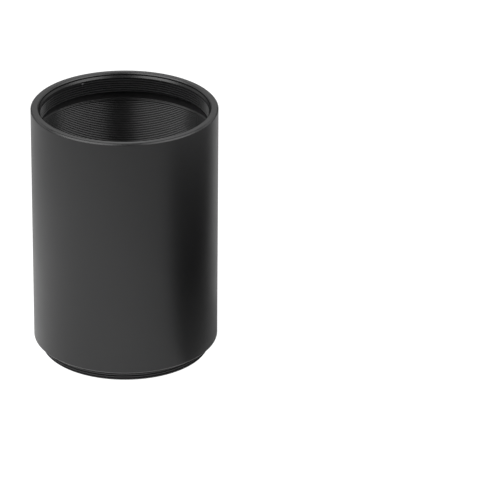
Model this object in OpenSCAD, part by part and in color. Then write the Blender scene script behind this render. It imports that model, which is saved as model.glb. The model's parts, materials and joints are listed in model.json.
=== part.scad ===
// Screw-on sunshade (lens hood) for a riflescope.
// A thin-walled turned tube, open at both ends. Its mouth has a female filter thread, its bore is
// lined with a fine anti-glare thread, and a male-threaded collar at the rear screws into the scope.
// Origin: centre of the collar's rear end face. +Z runs along the axis to the front mouth.
// Millimetres throughout. Threads are drawn as closed rings at the true pitch and true radii.

/* [Tube] */
// Outside diameter of the tube
tube_d = 57; // [56.6:0.2:60]
// Length of the tube from its rear shoulder to its front rim
tube_l = 76.6; // [40:0.2:120]
// Bore diameter at the crests of the anti-glare thread
bore_d = 54.6; // [54:0.1:55]
// Edge break round the outside of the front rim
front_break = 0.5; // [0.2:0.05:0.6]
// Bevel round the outside of the rear shoulder
rear_bevel = 0.4; // [0.2:0.05:0.6]

/* [Filter thread] */
// Nominal diameter of the thread at both ends
thread_d = 52; // [51:0.5:52]
// Pitch of the thread at both ends
thread_p = 0.75; // [0.5:0.25:0.75]

/* [Front mouth] */
// Diameter of the plain counterbore in front of the thread
counterbore_d = 52.1; // [52.1:0.1:53]
// Depth of that counterbore from the rim
counterbore_l = 0.75; // [0.5:0.05:1]
// Edge break round the inside of the front rim
lip_break = 0.4; // [0.1:0.05:0.4]
// Length of the lead-in chamfer from the counterbore to the thread
lead_in_l = 0.65; // [0.4:0.05:1]
// Length of the female thread
front_thread_l = 4.55; // [3.05:0.1:8.05]
// Length of the plain relief behind the female thread
relief_l = 3.2; // [2:0.1:6]
// Diameter of that relief
relief_d = 55.5; // [55.2:0.1:55.8]

/* [Anti-glare thread] */
// Pitch of the anti-glare thread
glare_p = 0.6; // [0.5:0.1:1]
// Depth of the anti-glare thread
glare_depth = 0.2; // [0.15:0.05:0.35]
// Length of plain bore above and below the anti-glare thread
glare_land = 0.3; // [0.2:0.1:1]

/* [Rear collar] */
// Length of the male spigot behind the tube's shoulder
spigot_l = 3.4; // [3.2:0.1:8]
// Length of the plain neck between the shoulder and the male thread
neck_l = 0.85; // [0.6:0.05:1.2]
// Chamfer on the free end of the male thread
end_chamfer = 0.3; // [0.2:0.05:0.5]
// Length of the collar bonded inside the tube
plug_l = 5; // [4:0.5:10]
// Clear bore of the collar
clear_d = 48.8; // [46:0.2:49]
// Funnel chamfer at the collar's inner end
funnel = 1.4; // [0.5:0.1:1.6]
// Edge break at the rear end of the clear bore
exit_break = 0.3; // [0.1:0.1:0.5]

/* [Hidden] */
$fn = 128;

// 60 degree thread form: depths and flats as shares of the pitch
female_depth = 0.5413 * thread_p;
male_depth = 0.6134 * thread_p;
wide_flat = 0.25;
narrow_flat = 0.125;
glare_crest = 0.2;
glare_root = 0.1;
// How far the neck lies below the roots of the male thread
neck_undercut = 0.1;

outer_r = tube_d / 2;
bore_r = bore_d / 2;
relief_r = relief_d / 2;
counterbore_r = counterbore_d / 2;
clear_r = clear_d / 2;
major_r = thread_d / 2;
minor_r = major_r - female_depth;
root_r = major_r - male_depth;
neck_r = root_r - neck_undercut;

total_l = spigot_l + tube_l;
plug_top_z = spigot_l + plug_l;
lead_in_z = total_l - counterbore_l;
thread_top_z = lead_in_z - lead_in_l;
thread_end_z = thread_top_z - front_thread_l;
relief_end_z = thread_end_z - relief_l;
ledge_z = relief_end_z - (relief_r - bore_r);
male_top_z = spigot_l - neck_l;

anodised = [0.13, 0.13, 0.14];

// Points of a ring thread on a wall, listed downwards from z_top to z_end.
// wall_r is the radius of the lands and groove_r that of the grooves' floors; land and floor are
// the widths of those flats as shares of the pitch. After the last whole turn the wall stays plain.
function ring_thread(z_top, z_end, pitch, wall_r, groove_r, land, groove_floor) =
    let (turns = floor((z_top - z_end) / pitch),
         slope = (1 - land - groove_floor) / 2)
    concat(
        [for (i = [0 : turns - 1])
            let (z = z_top - i * pitch)
            each [[wall_r, z],
                  [wall_r, z - land * pitch],
                  [groove_r, z - (land + slope) * pitch],
                  [groove_r, z - (land + slope + groove_floor) * pitch]]],
        [[wall_r, z_top - turns * pitch],
         [wall_r, z_end]]);

// The tube: outside, mouth, female thread, relief and anti-glare bore, as one turned profile
module hood_tube() {
    outside = [
        [bore_r, spigot_l],
        [outer_r - rear_bevel, spigot_l],
        [outer_r, spigot_l + rear_bevel],
        [outer_r, total_l - front_break],
        [outer_r - front_break, total_l]];
    mouth = [
        [counterbore_r + lip_break, total_l],
        [counterbore_r, total_l - lip_break],
        [counterbore_r, lead_in_z]];
    female_thread = ring_thread(thread_top_z, thread_end_z, thread_p,
                                minor_r, major_r, wide_flat, narrow_flat);
    relief = [
        [relief_r, thread_end_z],
        [relief_r, relief_end_z]];
    glare_thread = ring_thread(ledge_z, plug_top_z + glare_land, glare_p,
                               bore_r, bore_r + glare_depth, glare_crest, glare_root);
    color(anodised)
        rotate_extrude()
            polygon(concat(outside, mouth, female_thread, relief, glare_thread));
}

// The collar: a plug inside the tube and a male-threaded spigot outside it
module rear_thread_collar() {
    male_thread = ring_thread(male_top_z, end_chamfer, thread_p,
                              major_r, root_r, wide_flat, narrow_flat);
    outside = concat(
        [[bore_r, plug_top_z],
         [bore_r, spigot_l],
         [neck_r, spigot_l],
         [neck_r, male_top_z]],
        male_thread,
        [[major_r - end_chamfer, 0]]);
    inside = [
        [clear_r + exit_break, 0],
        [clear_r, exit_break],
        [clear_r, plug_top_z - funnel],
        [clear_r + funnel, plug_top_z]];
    color(anodised)
        rotate_extrude()
            polygon(concat(outside, inside));
}

hood_tube();
rear_thread_collar();
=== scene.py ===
"""Visual model of a screw-on riflescope sunshade: turned tube, helical threads, anodised finish.

Both pieces are lathed from closed profiles. The frame gives their boxes and both thread radii, and
the other sizes repeat the CAD's.
"""

import json
import math

import bmesh
import bpy
import numpy as np
from mathutils import Matrix, Vector


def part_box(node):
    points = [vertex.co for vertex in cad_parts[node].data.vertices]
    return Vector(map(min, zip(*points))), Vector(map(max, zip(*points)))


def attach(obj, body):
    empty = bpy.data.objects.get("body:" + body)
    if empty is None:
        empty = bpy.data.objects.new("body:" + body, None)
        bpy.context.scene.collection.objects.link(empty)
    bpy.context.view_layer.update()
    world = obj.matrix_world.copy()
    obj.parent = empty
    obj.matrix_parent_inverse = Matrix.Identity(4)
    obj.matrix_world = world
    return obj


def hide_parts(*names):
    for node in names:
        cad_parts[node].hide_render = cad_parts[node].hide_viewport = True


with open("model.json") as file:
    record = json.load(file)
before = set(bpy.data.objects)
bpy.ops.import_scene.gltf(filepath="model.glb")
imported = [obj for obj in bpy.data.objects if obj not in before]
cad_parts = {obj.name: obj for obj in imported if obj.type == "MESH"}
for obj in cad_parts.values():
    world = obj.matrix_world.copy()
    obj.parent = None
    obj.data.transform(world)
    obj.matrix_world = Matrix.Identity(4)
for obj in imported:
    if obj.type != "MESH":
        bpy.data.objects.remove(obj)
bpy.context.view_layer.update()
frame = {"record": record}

# ---------------------------------------------------------------- sizes, in metres
MM = 0.001
mounts = {m["name"]: m for m in frame["record"]["mounts"]}
tube_low, tube_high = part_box("hood_tube")
collar_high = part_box("rear_thread_collar")[1]

OUTER_R = tube_high.x
TOTAL_L = tube_high.z
SHOULDER_Z = tube_low.z
PLUG_TOP_Z = collar_high.z
BORE_R = collar_high.x
MAJOR_R = mounts["rear_thread"]["dims"]["r_mm"] * MM
MINOR_R = mounts["front_thread"]["dims"]["r_mm"] * MM

# 60 degree thread form: the male depth and the two flats are shares of the pitch
THREAD_P = 0.75 * MM
MALE_DEPTH = 0.6134
WIDE_FLAT = 0.25
NARROW_FLAT = 0.125
ROOT_R = MAJOR_R - MALE_DEPTH * THREAD_P

# The tube, from the rim downwards
FRONT_BREAK = 0.5 * MM
BREAK_SPLIT = 0.3  # how far up the break its crisp lower edge gives way to a rounder upper corner
LIP_BREAK = 0.4 * MM
COUNTERBORE_R = 26.05 * MM
COUNTERBORE_L = 0.75 * MM
LEAD_IN_L = 0.65 * MM
FRONT_THREAD_L = 4.55 * MM
RELIEF_R = 27.75 * MM
RELIEF_L = 3.2 * MM
GLARE_P = 0.6 * MM
GLARE_DEPTH = 0.2 * MM
GLARE_CREST = 0.2  # width of the crests and, next, of the roots, as shares of the pitch
GLARE_ROOT = 0.1
GLARE_LAND = 0.3 * MM
REAR_BEVEL = 0.4 * MM

LEAD_IN_Z = TOTAL_L - COUNTERBORE_L
THREAD_TOP_Z = LEAD_IN_Z - LEAD_IN_L
THREAD_END_Z = THREAD_TOP_Z - FRONT_THREAD_L
RELIEF_END_Z = THREAD_END_Z - RELIEF_L
LEDGE_Z = RELIEF_END_Z - (RELIEF_R - BORE_R)
GLARE_END_Z = PLUG_TOP_Z + GLARE_LAND

# The collar
NECK_L = 0.85 * MM
NECK_UNDERCUT = 0.1 * MM
NECK_R = ROOT_R - NECK_UNDERCUT
MALE_TOP_Z = SHOULDER_Z - NECK_L
END_CHAMFER = 0.3 * MM
CLEAR_R = 24.4 * MM
FUNNEL = 1.4 * MM
EXIT_BREAK = 0.3 * MM

# Small edge roundings: how far each reaches along the flats beside it
BODY_ROUND = 0.12 * MM
RIM_ROUND = 0.25 * MM
MOUTH_ROUND = 0.1 * MM
COLLAR_ROUND = 0.06 * MM

COLUMNS = 288
SHARP_ANGLE = math.radians(32)
THREAD_START = math.radians(121)  # where the first turn of the mouth thread begins, from +X
COLLAR_START = math.radians(182)  # the same for the collar's thread
FACET_TURNS = 1.5 / COLUMNS  # how much of the first turn is facetted at its blunt start

# Material numbers in the profiles
OUTSIDE, TURNED, THREADED, BORED, RELIEF = range(5)


# ---------------------------------------------------------------- turned profiles
def rounded(points, radius, steps=5):
    """Corner points (r, z, material) with each inner corner cut into a small quadratic arc.

    A spare point just before and after each arc keeps the flats' shading flat.
    """
    hold = 0.02 * MM
    most = 0.4  # share of a flat that one arc may take, so that two arcs never meet
    out = [points[0]]
    for before, here, after in zip(points, points[1:], points[2:]):
        p, q, s = (np.array(v[:2]) for v in (before, here, after))
        back, on = p - q, s - q
        back_l, on_l = np.linalg.norm(back), np.linalg.norm(on)
        reach = min(radius, most * back_l, most * on_l)
        start = q + back / back_l * reach
        end = q + on / on_l * reach
        out.append((*(start + back / back_l * hold), before[2]))
        for i in range(steps + 1):
            t = i / steps
            at = (1 - t) ** 2 * start + 2 * t * (1 - t) * q + t ** 2 * end
            out.append((at[0], at[1], before[2] if i < steps else here[2]))
        out.append((*(end + on / on_l * hold), here[2]))
    out.append(points[-1])
    return out


def groove_form(wall_r, groove_r, land, floor):
    """One turn of a groove, downwards, as (radius, share of the pitch)."""
    slope = (1 - land - floor) / 2
    return [(wall_r, 0), (wall_r, land), (groove_r, land + slope), (groove_r, land + slope + floor)]


def clipped(r, z, z_end, z_top, material):
    """The wall r over the falling heights z, cut off at two plane ends."""
    z_cut = np.clip(z, z_end, z_top)
    r_cut = np.interp(z_cut, z[::-1], r[::-1])
    return [(a, b, material) for a, b in zip(r_cut, z_cut)]


def groove_wall(turn, z_top, z_end, pitch, form, material):
    """A wall with a helical groove, at `turn` of a clockwise turn. It runs out at both plane ends."""
    count = int(math.ceil((z_top - z_end) / pitch)) + 2
    r = [p[0] for k in range(-1, count) for p in form]
    z = [z_top - pitch * (k + turn + p[1]) for k in range(-1, count) for p in form]
    return clipped(r, z, z_end, z_top, material)


def started_groove_wall(turn, z_top, z_end, pitch, form, material):
    """Like groove_wall, but the groove starts bluntly just below z_top.

    At the start its lower flank is a 45 degree facet that catches the light.
    """
    wall_r, groove_r = form[0][0], form[2][0]
    count = int(math.ceil((z_top - z_end) / pitch)) + 1
    r = [wall_r] + [p[0] for k in range(count) for p in form]
    z = [z_top] + [z_top - pitch * (k + turn + p[1]) for k in range(count) for p in form]
    if turn < FACET_TURNS:
        next_land = z[5]
        z[3] = z[4] = next_land + (groove_r - wall_r)
    return clipped(r, z, z_end, z_top, material)


def lathe(name, column, columns, start, materials):
    """Mesh from column(turn) -> closed list of (r, z, material), swept clockwise from `start`."""
    rows = [column(j / columns) for j in range(columns + 1)]
    n = len(rows[0])
    verts = []
    for j, row in enumerate(rows):
        a = start - 2 * math.pi * j / columns
        verts += [(r * math.cos(a), r * math.sin(a), z) for r, z, _ in row]
    faces = []
    slots = []
    for j in range(columns):
        for i in range(n):
            k = (i + 1) % n
            faces.append((j * n + i, j * n + k, (j + 1) * n + k, (j + 1) * n + i))
            slots.append(rows[j][i][2])
    mesh = bpy.data.meshes.new(name)
    mesh.from_pydata(verts, [], faces)
    mesh.polygons.foreach_set("material_index", slots)
    for material in materials:
        mesh.materials.append(material)
    return mesh


def close_mesh(mesh):
    """Merges the seam and the clipped thread ends, fills the blunt thread start, sets shading."""
    bm = bmesh.new()
    bm.from_mesh(mesh)
    bmesh.ops.remove_doubles(bm, verts=bm.verts, dist=2e-7)
    bmesh.ops.dissolve_degenerate(bm, edges=bm.edges, dist=1e-7)
    open_edges = [e for e in bm.edges if e.is_boundary]
    if open_edges:
        made = bmesh.ops.holes_fill(bm, edges=open_edges, sides=0)
        for f in made["faces"]:
            f.material_index = f.edges[0].link_faces[0].material_index
    bmesh.ops.recalc_face_normals(bm, faces=bm.faces)
    bm.to_mesh(mesh)
    bm.free()
    mesh.polygons.foreach_set("use_smooth", [True] * len(mesh.polygons))
    mesh.set_sharp_from_angle(angle=SHARP_ANGLE)


# ---------------------------------------------------------------- shader nodes
def set_inputs(tree, node, inputs):
    """Fills a node's inputs, by name or number, with plain values or with other nodes' outputs."""
    for key, value in inputs.items():
        if isinstance(value, bpy.types.NodeSocket):
            tree.links.new(value, node.inputs[key])
        else:
            node.inputs[key].default_value = value


def add_node(tree, kind, inputs, **settings):
    """A new shader node of the given kind, with its settings made and its inputs filled."""
    node = tree.nodes.new("ShaderNode" + kind)
    for key, value in settings.items():
        setattr(node, key, value)
    set_inputs(tree, node, inputs)
    return node


def product(tree, a, b):
    return add_node(tree, "Math", {0: a, 1: b}, operation="MULTIPLY").outputs["Value"]


def smooth_range(tree, value, low, high, to_low, to_high):
    """A value that goes smoothly from to_low to to_high while the given one goes from low to high."""
    ends = {"Value": value, "From Min": low, "From Max": high, "To Min": to_low, "To Max": to_high}
    return add_node(tree, "MapRange", ends, interpolation_type="SMOOTHSTEP").outputs["Result"]


def grey_ramp(tree, value, stops, interpolation):
    """Greys between stops (place, level) along the value."""
    node = add_node(tree, "ValToRGB", {"Fac": value})
    node.color_ramp.interpolation = interpolation
    elements = node.color_ramp.elements
    while len(elements) < len(stops):
        elements.new(0.5)
    for element, (place, level) in zip(elements, stops):
        element.position = place
        element.color = (level, level, level, 1)
    return node.outputs["Color"]


def add_bump(tree, bsdf, height, strength, distance):
    """Tilts the surface's normals by a height field."""
    bump = add_node(tree, "Bump", {"Height": height, "Strength": strength, "Distance": distance})
    set_inputs(tree, bsdf, {"Normal": bump.outputs["Normal"]})


# ---------------------------------------------------------------- materials
def node_material(name):
    material = bpy.data.materials.new(name)
    material.use_nodes = True
    tree = material.node_tree
    return material, tree, tree.nodes["Principled BSDF"]


def blasted_anodised():
    """Bead-blasted, matte black anodised aluminium."""
    material, tree, bsdf = node_material("anodised_blasted")
    place = add_node(tree, "TexCoord", {}).outputs["Object"]
    grain = add_node(tree, "TexNoise", {"Vector": place, "Scale": 5200, "Detail": 3})
    add_bump(tree, bsdf, grain.outputs["Fac"], 0.35, 0.03 * MM)
    clouds = add_node(tree, "TexNoise", {"Vector": place, "Scale": 60})
    rough = add_node(tree, "MapRange", {"Value": clouds.outputs["Fac"], "To Min": 0.34, "To Max": 0.42})
    set_inputs(tree, bsdf, {
        "Roughness": rough.outputs["Result"],
        "Base Color": (0.006, 0.006, 0.0065, 1),
        "Specular IOR Level": 0.42})
    return material


def turned_anodised(name, grey, roughness, anisotropic=0.3, specular=0.5):
    """Machined, black anodised surface with fine concentric turning marks."""
    material, tree, bsdf = node_material(name)
    tangent = add_node(tree, "Tangent", {}, direction_type="RADIAL", axis="Z")
    set_inputs(tree, bsdf, {
        "Base Color": (grey, grey, 1.03 * grey, 1),
        "Roughness": roughness,
        "Anisotropic": anisotropic,
        "Specular IOR Level": specular,
        "Tangent": tangent.outputs["Tangent"]})
    # The marks are noise along the radius plus the height, so they run round the axis
    place = add_node(tree, "TexCoord", {}).outputs["Object"]
    level = add_node(tree, "VectorMath", {0: place, 1: (1, 1, 0)}, operation="MULTIPLY")
    radius = add_node(tree, "VectorMath", {0: level.outputs["Vector"]}, operation="LENGTH")
    split = add_node(tree, "SeparateXYZ", {"Vector": place})
    along = add_node(tree, "Math", {0: radius.outputs["Value"], 1: split.outputs["Z"]}, operation="ADD")
    marks = add_node(tree, "TexNoise", {"W": along.outputs["Value"], "Scale": 9000}, noise_dimensions="1D")
    add_bump(tree, bsdf, marks.outputs["Fac"], 0.25, 0.01 * MM)
    return material


# ---------------------------------------------------------------- pieces
def tube_column(turn):
    """The tube's closed profile: outside, rim, mouth, thread, relief and anti-glare bore."""
    # Two points where the amount of rounding changes
    on_break = (OUTER_R - BREAK_SPLIT * FRONT_BREAK, TOTAL_L - (1 - BREAK_SPLIT) * FRONT_BREAK, TURNED)
    on_flat = (OUTER_R - 2 * FRONT_BREAK, TOTAL_L, TURNED)
    outside = rounded([
        (BORE_R, SHOULDER_Z, TURNED),
        (OUTER_R - REAR_BEVEL, SHOULDER_Z, TURNED),
        (OUTER_R, SHOULDER_Z + REAR_BEVEL, OUTSIDE),
        (OUTER_R, TOTAL_L - FRONT_BREAK, TURNED),
        on_break], BODY_ROUND)
    rim = rounded([on_break, (OUTER_R - FRONT_BREAK, TOTAL_L, TURNED), on_flat], RIM_ROUND)
    mouth = rounded([
        on_flat,
        (COUNTERBORE_R + LIP_BREAK, TOTAL_L, TURNED),
        (COUNTERBORE_R, TOTAL_L - LIP_BREAK, TURNED),
        (COUNTERBORE_R, LEAD_IN_Z, TURNED),
        (MINOR_R, THREAD_TOP_Z, THREADED)], MOUTH_ROUND)
    female_form = groove_form(MINOR_R, MAJOR_R, WIDE_FLAT, NARROW_FLAT)
    female = started_groove_wall(turn, THREAD_TOP_Z, THREAD_END_Z, THREAD_P, female_form, THREADED)
    relief = rounded([
        (female[-1][0], THREAD_END_Z, RELIEF),
        (RELIEF_R, THREAD_END_Z, RELIEF),
        (RELIEF_R, RELIEF_END_Z, BORED),
        (BORE_R, LEDGE_Z, BORED)], MOUTH_ROUND)
    glare_form = groove_form(BORE_R, BORE_R + GLARE_DEPTH, GLARE_CREST, GLARE_ROOT)
    glare = groove_wall(turn, LEDGE_Z, GLARE_END_Z, GLARE_P, glare_form, BORED)
    land = [(BORE_R, GLARE_END_Z, TURNED)]
    return outside[:-1] + rim[:-1] + mouth[:-1] + female + relief[1:] + glare + land


def collar_column(turn):
    """The collar's closed profile: plug, neck, male thread, end face and clear bore."""
    upper = [
        (BORE_R, PLUG_TOP_Z, TURNED),
        (BORE_R, SHOULDER_Z, TURNED),
        (NECK_R, SHOULDER_Z, TURNED),
        (NECK_R, MALE_TOP_Z, THREADED)]
    male_form = groove_form(MAJOR_R, ROOT_R, WIDE_FLAT, NARROW_FLAT)
    male = groove_wall(turn, MALE_TOP_Z, END_CHAMFER, THREAD_P, male_form, THREADED)
    tip_r = min(male[-1][0], MAJOR_R - END_CHAMFER)
    lower = rounded([
        (tip_r, 0, TURNED),
        (CLEAR_R + EXIT_BREAK, 0, TURNED),
        (CLEAR_R, EXIT_BREAK, TURNED),
        (CLEAR_R, PLUG_TOP_Z - FUNNEL, TURNED),
        (CLEAR_R + FUNNEL, PLUG_TOP_Z, TURNED)], COLLAR_ROUND)
    return upper + male + lower


def add_object(name, data):
    obj = bpy.data.objects.new(name, data)
    bpy.context.scene.collection.objects.link(obj)
    return obj


def make_piece(name, column, start, materials, node):
    """One lathed piece that stands in for a CAD node."""
    mesh = lathe(name, column, COLUMNS, start, materials)
    close_mesh(mesh)
    obj = add_object(name, mesh)
    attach(obj, "root")
    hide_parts(node)


def make_pieces():
    """Both pieces. Each list of materials is in the order of the material numbers."""
    blasted = blasted_anodised()
    turned = turned_anodised("anodised_turned", 0.010, 0.22, anisotropic=0.75)
    # One black anodise throughout: the thread, relief and spigot copies have lighter greys, painted light
    # that brightens valleys and recesses the lamps leave too dark
    thread_painted_light = turned_anodised("anodised_thread_painted_light", 0.027, 0.26)
    bored = turned_anodised("anodised_bore", 0.015, 0.25, specular=0.38)
    relief_painted_light = turned_anodised("anodised_relief_painted_light", 0.038, 0.3)
    spigot_painted_light = turned_anodised("anodised_spigot_painted_light", 0.040, 0.3)
    make_piece("sunshade_tube", tube_column, THREAD_START, [blasted, turned, thread_painted_light, bored, relief_painted_light],
               "hood_tube")
    make_piece("threaded_collar", collar_column, COLLAR_START, [blasted, turned, spigot_painted_light],
               "rear_thread_collar")


# ---------------------------------------------------------------- floor
def floor_spot(tree, position, centre, near, far, inner, outer):
    """A factor that goes smoothly from inner to outer between two distances from a floor point."""
    distance = add_node(tree, "VectorMath", {0: position, 1: centre}, operation="DISTANCE")
    return smooth_range(tree, distance.outputs["Value"], near, far, inner, outer)


def floor_material():
    """A pale floor with painted light: brighter near the front left of the part, darker away from it, and
    a painted shadow at the part's right foot.
    """
    material, tree, bsdf = node_material("pale_floor")
    where = add_node(tree, "NewGeometry", {})
    position = where.outputs["Position"]
    # Painted light and shadow: a pool of light that fades with distance and a painted shadow at the right
    # foot, in both the floor's grey and its glow
    painted_light_pool = floor_spot(tree, position, (-0.06, -0.06, 0), 0.05, 0.175, 1.18, 0.68)
    foot = floor_spot(tree, position, (0.045, 0.003, 0), 0.005, 0.04, 0.66, 1.0)
    painted_light_and_shadow = product(tree, painted_light_pool, foot)
    painted_light_grey = add_node(tree, "VectorMath", {0: (0.85, 0.85, 0.85), "Scale": painted_light_and_shadow}, operation="SCALE")
    set_inputs(tree, bsdf, {
        "Roughness": 0.9,
        "Specular IOR Level": 0.1,
        "Base Color": painted_light_grey.outputs["Vector"],
        "Emission Color": (1, 1, 1, 1),
        "Emission Strength": product(tree, painted_light_and_shadow, 0.34)})
    # The camera sees the floor mostly as even white, so only a faint contact shadow stays
    even = add_node(tree, "Emission", {"Strength": 1.25})
    path = add_node(tree, "LightPath", {})
    share = product(tree, path.outputs["Is Camera Ray"], 0.8)
    seen = add_node(tree, "MixShader", {0: share, 1: bsdf.outputs["BSDF"], 2: even.outputs["Emission"]})
    # From below, the floor is clear
    clear = add_node(tree, "BsdfTransparent", {})
    one_sided = add_node(tree, "MixShader", {
        0: where.outputs["Backfacing"],
        1: seen.outputs["Shader"],
        2: clear.outputs["BSDF"]})
    set_inputs(tree, tree.nodes["Material Output"], {"Surface": one_sided.outputs["Shader"]})
    return material


def add_floor():
    """A wide plane, just low enough that it doesn't touch the collar's end face."""
    half = 6
    z = -0.05 * MM
    mesh = bpy.data.meshes.new("floor")
    mesh.from_pydata([(-half, -half, z), (half, -half, z), (half, half, z), (-half, half, z)], [],
                     [(0, 1, 2, 3)])
    mesh.materials.append(floor_material())
    add_object("floor", mesh)


# ---------------------------------------------------------------- light
def softbox(name, place, size, turn, watts):
    """A panel that faces straight down, turned about the vertical by `turn` degrees."""
    data = bpy.data.lights.new(name, "AREA")
    data.shape = "RECTANGLE"
    data.size, data.size_y = size
    data.energy = watts
    obj = add_object(name, data)
    obj.location = place
    obj.rotation_euler.z = math.radians(turn)


def card_material(name, height):
    """Painted light: black in the middle, with a grey glow towards its foot and its top, where a lit scope
    and the floor beside it would be brighter.
    """
    material, tree, bsdf = node_material(name)
    where = add_node(tree, "NewGeometry", {})
    split = add_node(tree, "SeparateXYZ", {"Vector": where.outputs["Position"]})
    share = add_node(tree, "MapRange", {"Value": split.outputs["Z"], "From Max": height})
    painted_glow = grey_ramp(tree, share.outputs["Result"], [(0.0, 0.3), (0.45, 0.03), (1.0, 0.22)], "LINEAR")
    set_inputs(tree, bsdf, {
        "Emission Color": painted_glow,
        "Emission Strength": 1,
        "Base Color": (0.01, 0.01, 0.01, 1),
        "Roughness": 0.8,
        "Specular IOR Level": 0.2})
    return material


def reflection_card(name, place, direction, radius, length, taper):
    """A dark arched block that the camera doesn't see, which paints a dark reflection into the tube's
    right side, like a scope lying beside the part.

    It runs from `place` along `direction`, and its far end is `taper` times as large.
    """
    foot = 1.4 * radius
    along = Vector(direction).normalized()
    side = along.cross(Vector((0, 0, 1))).normalized()
    arch = [(radius * math.cos(a), radius + radius * math.sin(a)) for a in np.linspace(0, math.pi, 33)]
    arch += [(-foot, 0), (foot, 0)]
    n = len(arch)
    verts = []
    for distance, scale in ((0, 1), (length, taper)):
        verts += [Vector(place) + along * distance + side * u * scale + Vector((0, 0, v * scale))
                  for u, v in arch]
    faces = [tuple(range(n)), tuple(range(2 * n - 1, n - 1, -1))]
    faces += [(j, (j + 1) % n, n + (j + 1) % n, n + j) for j in range(n)]
    mesh = bpy.data.meshes.new(name)
    mesh.from_pydata(verts, [], faces)
    mesh.materials.append(card_material(name, 2 * radius))
    obj = add_object(name, mesh)
    obj.visible_camera = False


def add_world():
    """A pale backdrop behind the part, and a dim ceiling that is lighter to both sides."""
    world = bpy.data.worlds.new("studio")
    world.use_nodes = True
    tree = world.node_tree
    direction = add_node(tree, "TexCoord", {}).outputs["Generated"]
    split = add_node(tree, "SeparateXYZ", {"Vector": direction})
    x, y, z = (split.outputs[axis] for axis in "XYZ")
    stops = [(0.0, 0.1), (0.3, 0.3), (0.43, 1.0), (0.56, 0.15), (0.75, 0.0)]
    backdrop = grey_ramp(tree, z, stops, "EASE")
    behind = smooth_range(tree, y, 0.1, 0.7, 0, 1)
    aside = add_node(tree, "Math", {0: x}, operation="ABSOLUTE")
    ceiling = smooth_range(tree, aside.outputs["Value"], 0.04, 0.8, 0.1, 0.45)
    aloft = smooth_range(tree, z, 0.05, 0.4, 0, 1)
    overhead = product(tree, ceiling, aloft)
    level = add_node(tree, "Math", {0: backdrop, 1: behind, 2: overhead}, operation="MULTIPLY_ADD")
    set_inputs(tree, tree.nodes["Background"], {"Color": (1, 1, 1, 1), "Strength": level.outputs["Value"]})
    bpy.context.scene.world = world


# ---------------------------------------------------------------- camera
def add_camera():
    """It looks down a little less than 26 degrees, from the front, through a long lens."""
    down = math.radians(25.58)
    roll = math.radians(0.59)
    yaw = math.radians(2.10)
    back = 36.84 * OUTER_R
    above_rim = 15.95 * OUTER_R
    data = bpy.data.cameras.new("camera")
    data.sensor_width = 36
    data.lens = 271.6
    data.shift_x = -0.0002
    data.shift_y = -0.0009
    data.clip_end = 50
    ahead = Vector((math.sin(yaw) * math.cos(down), math.cos(yaw) * math.cos(down), -math.sin(down)))
    right = ahead.cross(Vector((0, 0, 1))).normalized()
    up = right.cross(ahead)
    tilted_right = right * math.cos(roll) + up * math.sin(roll)
    tilted_up = up * math.cos(roll) - right * math.sin(roll)
    turn = Matrix((tilted_right, tilted_up, -ahead)).transposed().to_4x4()
    camera = add_object("camera", data)
    camera.matrix_world = Matrix.Translation((0, -back, TOTAL_L + above_rim)) @ turn
    bpy.context.scene.camera = camera


make_pieces()
add_floor()
# Two panels front left and front right of the part, with a dark gap between them
softbox("left_softbox", (-0.726, -0.380, 1.0), (1.07, 1.3), -25, 13.7)
softbox("right_softbox", (0.857, -0.375, 1.0), (1.04, 1.3), 25, 10.0)
# Painted reflection: a hidden dark block that darkens the tube's right side
reflection_card("painted_reflection_card", (0.055, -0.048, 0), (0.62, 0.78, 0), 0.029, 0.3, 0.4)
add_world()
add_camera()
bpy.context.scene.view_settings.view_transform = "Standard"
